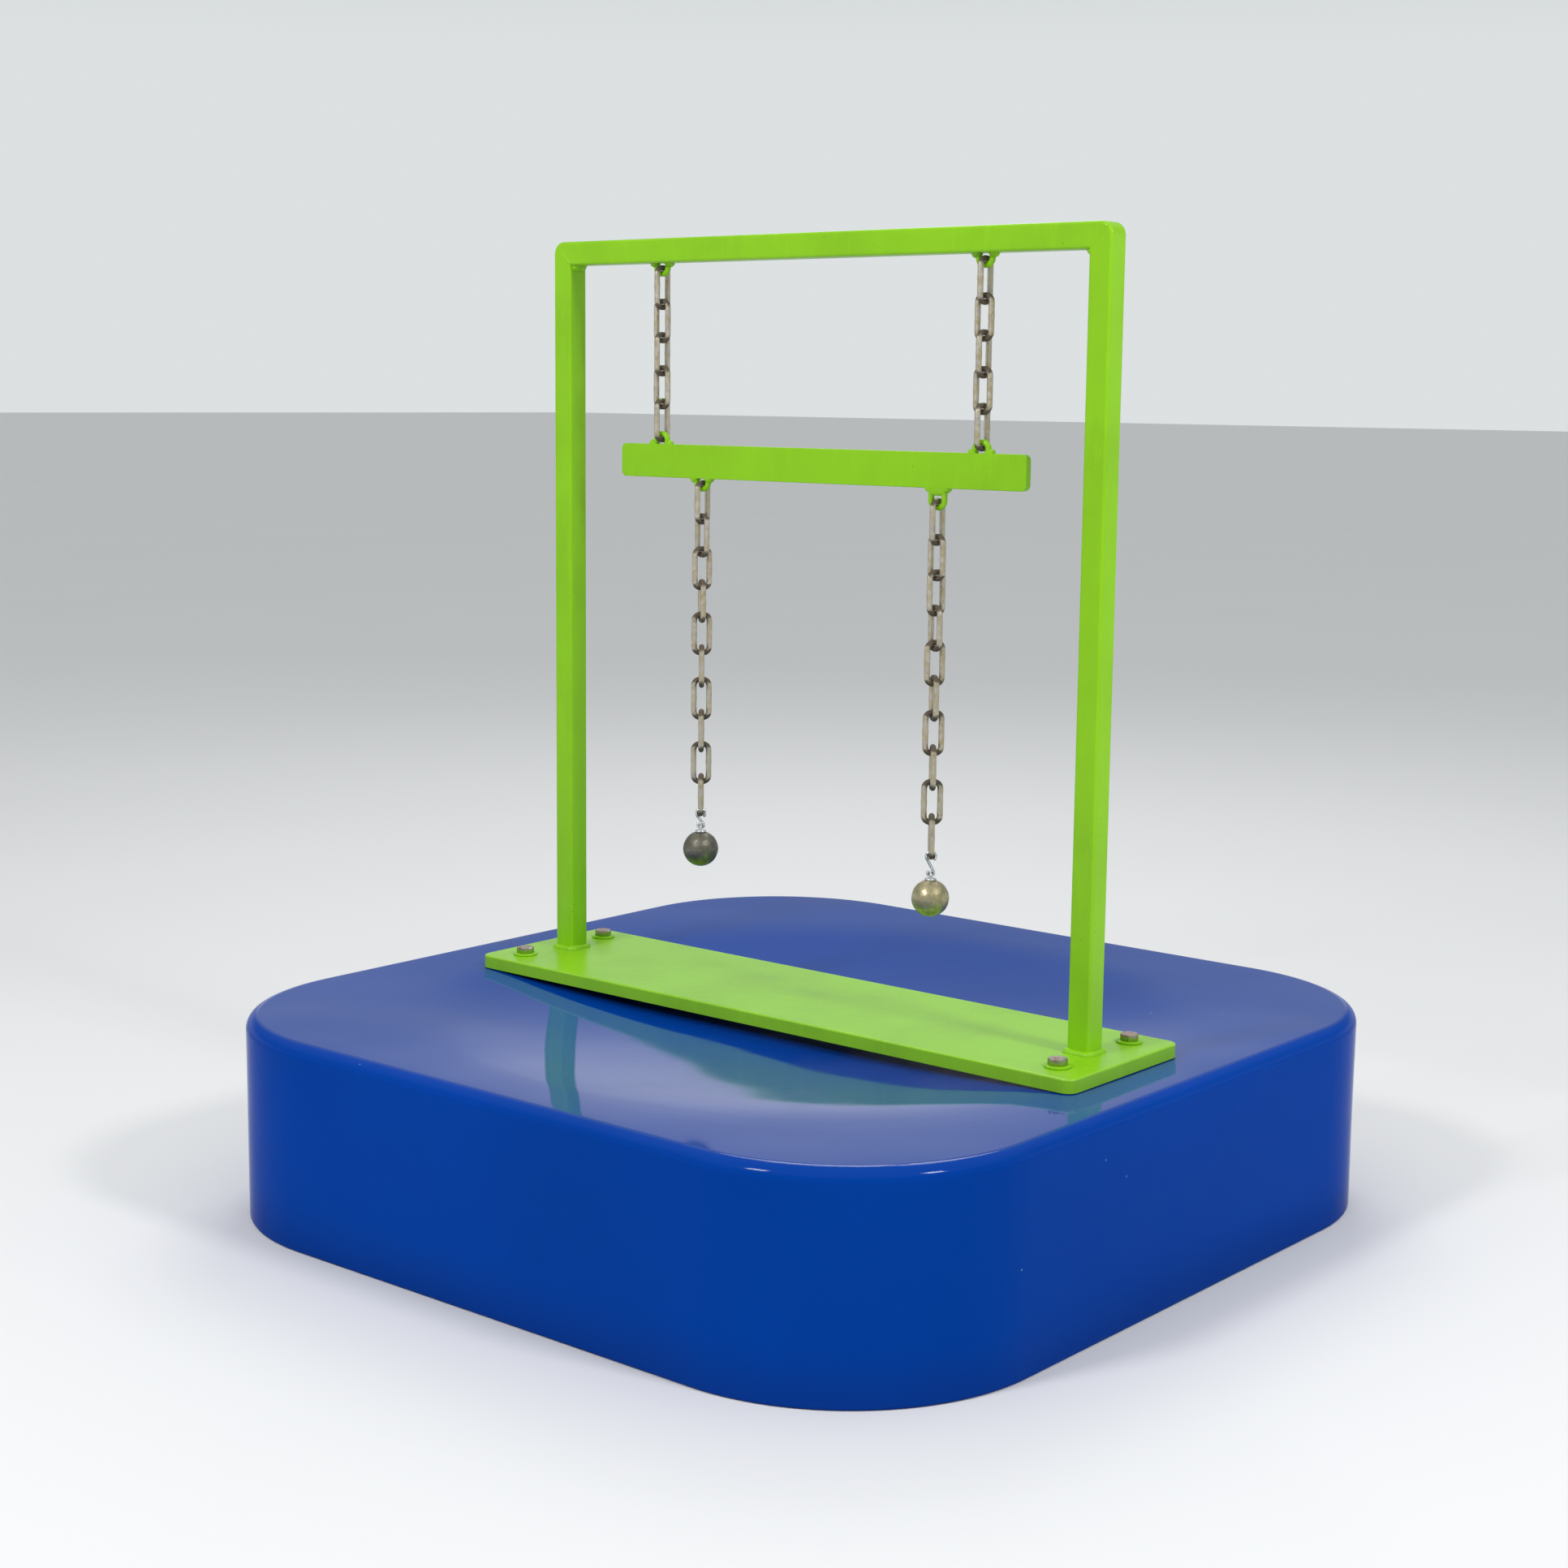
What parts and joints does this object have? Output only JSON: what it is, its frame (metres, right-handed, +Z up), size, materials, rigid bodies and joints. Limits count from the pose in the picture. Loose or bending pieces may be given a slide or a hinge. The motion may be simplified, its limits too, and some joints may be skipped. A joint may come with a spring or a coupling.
{
  "type": "chain trapeze play frame",
  "caption": "Small goal-post frame of square tube on a moulded block, with a flat trapeze bar hung on chains and a ball on a chain below each side.",
  "frame": {"origin": "middle of the block's footprint on the ground", "axes": "+Z up, X along the top bar, Y from front to back"},
  "size_m": [0.94, 0.952, 1.0035],
  "materials": {
    "green_paint": "thick glossy lime-green paint over welded steel, worn a little at the bolts",
    "blue_gelcoat": "high-gloss royal-blue moulded skin with small pits and scuffs",
    "plywood": "raw plywood",
    "zinc_steel": "dull zinc plate",
    "worn_bolt_steel": "bare steel where the green paint has worn off, with paint left in the corners",
    "galvanised_chain": "weathered yellowish galvanising, darker in the bends",
    "bright_hook_steel": "bright plated wire",
    "dark_ball_iron": "dark grey satin iron",
    "bronze_ball_metal": "tarnished olive-bronze, semi-gloss"
  },
  "bodies": {
    "frame": {"base_shell": "blue_gelcoat", "base_board": "plywood", "board_cleats": "plywood", "board_screws": "zinc_steel", "backing_plate_left": "zinc_steel", "backing_plate_right": "zinc_steel", "base_plate": "green_paint", "base_bolts": "worn_bolt_steel", "base_bolt_washers": "green_paint", "base_nut_washers": "zinc_steel", "base_nuts": "zinc_steel", "left_leg": "green_paint", "right_leg": "green_paint", "top_bar": "green_paint", "frame_welds": "green_paint", "top_left_eye": "green_paint", "top_right_eye": "green_paint"},
    "upper_left_link_1": {"upper_left_link_1": "galvanised_chain"},
    "upper_left_middle": {"upper_left_link_2": "galvanised_chain", "upper_left_link_3": "galvanised_chain", "upper_left_link_4": "galvanised_chain"},
    "upper_left_link_5": {"upper_left_link_5": "galvanised_chain"},
    "upper_right_link_1": {"upper_right_link_1": "galvanised_chain"},
    "upper_right_middle": {"upper_right_link_2": "galvanised_chain", "upper_right_link_3": "galvanised_chain", "upper_right_link_4": "galvanised_chain"},
    "upper_right_link_5": {"upper_right_link_5": "galvanised_chain"},
    "trapeze": {"trapeze_bar": "green_paint", "trapeze_top_left_eye": "green_paint", "trapeze_top_right_eye": "green_paint", "trapeze_bottom_left_eye": "green_paint", "trapeze_bottom_right_eye": "green_paint"},
    "lower_left_link_1": {"lower_left_link_1": "galvanised_chain"},
    "lower_left_link_2": {"lower_left_link_2": "galvanised_chain"},
    "lower_left_link_3": {"lower_left_link_3": "galvanised_chain"},
    "lower_left_link_4": {"lower_left_link_4": "galvanised_chain"},
    "lower_left_link_5": {"lower_left_link_5": "galvanised_chain"},
    "lower_left_link_6": {"lower_left_link_6": "galvanised_chain"},
    "lower_left_link_7": {"lower_left_link_7": "galvanised_chain"},
    "lower_left_link_8": {"lower_left_link_8": "galvanised_chain"},
    "lower_left_link_9": {"lower_left_link_9": "galvanised_chain"},
    "lower_left_link_10": {"lower_left_link_10": "galvanised_chain"},
    "left_hook": {"left_hook": "bright_hook_steel"},
    "left_ball": {"left_ball": "dark_ball_iron", "left_ball_eye": "bright_hook_steel"},
    "lower_right_link_1": {"lower_right_link_1": "galvanised_chain"},
    "lower_right_link_2": {"lower_right_link_2": "galvanised_chain"},
    "lower_right_link_3": {"lower_right_link_3": "galvanised_chain"},
    "lower_right_link_4": {"lower_right_link_4": "galvanised_chain"},
    "lower_right_link_5": {"lower_right_link_5": "galvanised_chain"},
    "lower_right_link_6": {"lower_right_link_6": "galvanised_chain"},
    "lower_right_link_7": {"lower_right_link_7": "galvanised_chain"},
    "lower_right_link_8": {"lower_right_link_8": "galvanised_chain"},
    "lower_right_link_9": {"lower_right_link_9": "galvanised_chain"},
    "lower_right_link_10": {"lower_right_link_10": "galvanised_chain"},
    "right_hook": {"right_hook": "bright_hook_steel"},
    "right_ball": {"right_ball": "bronze_ball_metal", "right_ball_eye": "bright_hook_steel"}
  },
  "joints": [
    {"name": "left_swing", "type": "hinge", "parent": "frame", "child": "upper_left_link_1", "pos_m": [-0.193, -0.021, 0.96743], "axis": [1, 0, 0], "range_deg": [-60, 60]},
    {"name": "left_sway", "type": "hinge", "parent": "upper_left_link_1", "child": "upper_left_middle", "pos_m": [-0.193, -0.021, 0.93293], "axis": [0, 1, 0], "range_deg": [-30, 30]},
    {"name": "left_sway_return", "type": "hinge", "parent": "upper_left_middle", "child": "upper_left_link_5", "pos_m": [-0.193, -0.021, 0.83553], "axis": [0, 1, 0], "range_deg": [-30, 30]},
    {"name": "right_swing", "type": "hinge", "parent": "frame", "child": "upper_right_link_1", "pos_m": [0.223, -0.021, 0.96743], "axis": [1, 0, 0], "range_deg": [-60, 60]},
    {"name": "right_sway", "type": "hinge", "parent": "upper_right_link_1", "child": "upper_right_middle", "pos_m": [0.223, -0.021, 0.93293], "axis": [0, 1, 0], "range_deg": [-30, 30]},
    {"name": "right_sway_return", "type": "hinge", "parent": "upper_right_middle", "child": "upper_right_link_5", "pos_m": [0.223, -0.021, 0.83553], "axis": [0, 1, 0], "range_deg": [-30, 30]},
    {"name": "trapeze_roll", "type": "hinge", "parent": "upper_left_link_5", "child": "trapeze", "pos_m": [-0.193, -0.021, 0.80103], "axis": [1, 0, 0], "range_deg": [-30, 30]},
    {"name": "left_link_1_hinge", "type": "hinge", "parent": "trapeze", "child": "lower_left_link_1", "pos_m": [-0.135, -0.021, 0.74503], "axis": [1, 0, 0], "range_deg": [-24, 24]},
    {"name": "left_link_2_hinge", "type": "hinge", "parent": "lower_left_link_1", "child": "lower_left_link_2", "pos_m": [-0.135, -0.021, 0.71053], "axis": [0, 1, 0], "range_deg": [-22, 22]},
    {"name": "left_link_3_hinge", "type": "hinge", "parent": "lower_left_link_2", "child": "lower_left_link_3", "pos_m": [-0.135, -0.021, 0.67603], "axis": [-0.9781, 0.2079, 0], "range_deg": [-26, 26]},
    {"name": "left_link_4_hinge", "type": "hinge", "parent": "lower_left_link_3", "child": "lower_left_link_4", "pos_m": [-0.135, -0.021, 0.64153], "axis": [-0.4695, -0.8829, 0], "range_deg": [-30, 30]},
    {"name": "left_link_5_hinge", "type": "hinge", "parent": "lower_left_link_4", "child": "lower_left_link_5", "pos_m": [-0.135, -0.021, 0.60703], "axis": [0.788, -0.6157, 0], "range_deg": [-30, 30]},
    {"name": "left_link_6_hinge", "type": "hinge", "parent": "lower_left_link_5", "child": "lower_left_link_6", "pos_m": [-0.135, -0.021, 0.57253], "axis": [0.7071, 0.7071, 0], "range_deg": [-36, 36]},
    {"name": "left_link_7_hinge", "type": "hinge", "parent": "lower_left_link_6", "child": "lower_left_link_7", "pos_m": [-0.135, -0.021, 0.53803], "axis": [-0.6691, 0.7431, 0], "range_deg": [-34, 34]},
    {"name": "left_link_8_hinge", "type": "hinge", "parent": "lower_left_link_7", "child": "lower_left_link_8", "pos_m": [-0.135, -0.021, 0.50353], "axis": [-0.766, -0.6428, 0], "range_deg": [-40, 40]},
    {"name": "left_link_9_hinge", "type": "hinge", "parent": "lower_left_link_8", "child": "lower_left_link_9", "pos_m": [-0.135, -0.021, 0.46903], "axis": [0.6428, -0.766, 0], "range_deg": [-40, 40]},
    {"name": "left_link_10_hinge", "type": "hinge", "parent": "lower_left_link_9", "child": "lower_left_link_10", "pos_m": [-0.135, -0.021, 0.43453], "axis": [0.766, 0.6428, 0], "range_deg": [-45, 45]},
    {"name": "left_hook_hinge", "type": "hinge", "parent": "lower_left_link_10", "child": "left_hook", "pos_m": [-0.135, -0.021, 0.40003], "axis": [-0.6428, 0.766, 0], "range_deg": [-45, 45]},
    {"name": "left_ball_hinge", "type": "hinge", "parent": "left_hook", "child": "left_ball", "pos_m": [-0.135, -0.021, 0.38753], "axis": [0.6428, -0.766, 0], "range_deg": [-45, 45]},
    {"name": "right_link_1_hinge", "type": "hinge", "parent": "trapeze", "child": "lower_right_link_1", "pos_m": [0.172, -0.021, 0.73693], "axis": [1, 0, 0], "range_deg": [-24, 24]},
    {"name": "right_link_2_hinge", "type": "hinge", "parent": "lower_right_link_1", "child": "lower_right_link_2", "pos_m": [0.172, -0.021, 0.70243], "axis": [0, 1, 0], "range_deg": [-22, 22]},
    {"name": "right_link_3_hinge", "type": "hinge", "parent": "lower_right_link_2", "child": "lower_right_link_3", "pos_m": [0.172, -0.021, 0.66793], "axis": [-0.9945, 0.1045, 0], "range_deg": [-26, 26]},
    {"name": "right_link_4_hinge", "type": "hinge", "parent": "lower_right_link_3", "child": "lower_right_link_4", "pos_m": [0.172, -0.021, 0.63343], "axis": [-0.2419, -0.9703, 0], "range_deg": [-30, 30]},
    {"name": "right_link_5_hinge", "type": "hinge", "parent": "lower_right_link_4", "child": "lower_right_link_5", "pos_m": [0.172, -0.021, 0.59893], "axis": [0.9272, -0.3746, 0], "range_deg": [-30, 30]},
    {"name": "right_link_6_hinge", "type": "hinge", "parent": "lower_right_link_5", "child": "lower_right_link_6", "pos_m": [0.172, -0.021, 0.56443], "axis": [0.5, 0.866, 0], "range_deg": [-36, 36]},
    {"name": "right_link_7_hinge", "type": "hinge", "parent": "lower_right_link_6", "child": "lower_right_link_7", "pos_m": [0.172, -0.021, 0.52993], "axis": [-0.788, 0.6157, 0], "range_deg": [-34, 34]},
    {"name": "right_link_8_hinge", "type": "hinge", "parent": "lower_right_link_7", "child": "lower_right_link_8", "pos_m": [0.172, -0.021, 0.49543], "axis": [-0.7071, -0.7071, 0], "range_deg": [-40, 40]},
    {"name": "right_link_9_hinge", "type": "hinge", "parent": "lower_right_link_8", "child": "lower_right_link_9", "pos_m": [0.172, -0.021, 0.46093], "axis": [0.6691, -0.7431, 0], "range_deg": [-40, 40]},
    {"name": "right_link_10_hinge", "type": "hinge", "parent": "lower_right_link_9", "child": "lower_right_link_10", "pos_m": [0.172, -0.021, 0.42643], "axis": [0.766, 0.6428, 0], "range_deg": [-45, 45]},
    {"name": "right_hook_hinge", "type": "hinge", "parent": "lower_right_link_10", "child": "right_hook", "pos_m": [0.172, -0.021, 0.39193], "axis": [-0.6428, 0.766, 0], "range_deg": [-45, 45]},
    {"name": "right_ball_hinge", "type": "hinge", "parent": "right_hook", "child": "right_ball", "pos_m": [0.172, -0.021, 0.37543], "axis": [0.6428, -0.766, 0], "range_deg": [-45, 45]}
  ],
  "couplings": [
    {"joint": "right_swing", "follows": "left_swing", "ratio": 1},
    {"joint": "left_sway_return", "follows": "left_sway", "ratio": -1},
    {"joint": "right_sway", "follows": "left_sway", "ratio": 1},
    {"joint": "right_sway_return", "follows": "left_sway", "ratio": -1}
  ]
}
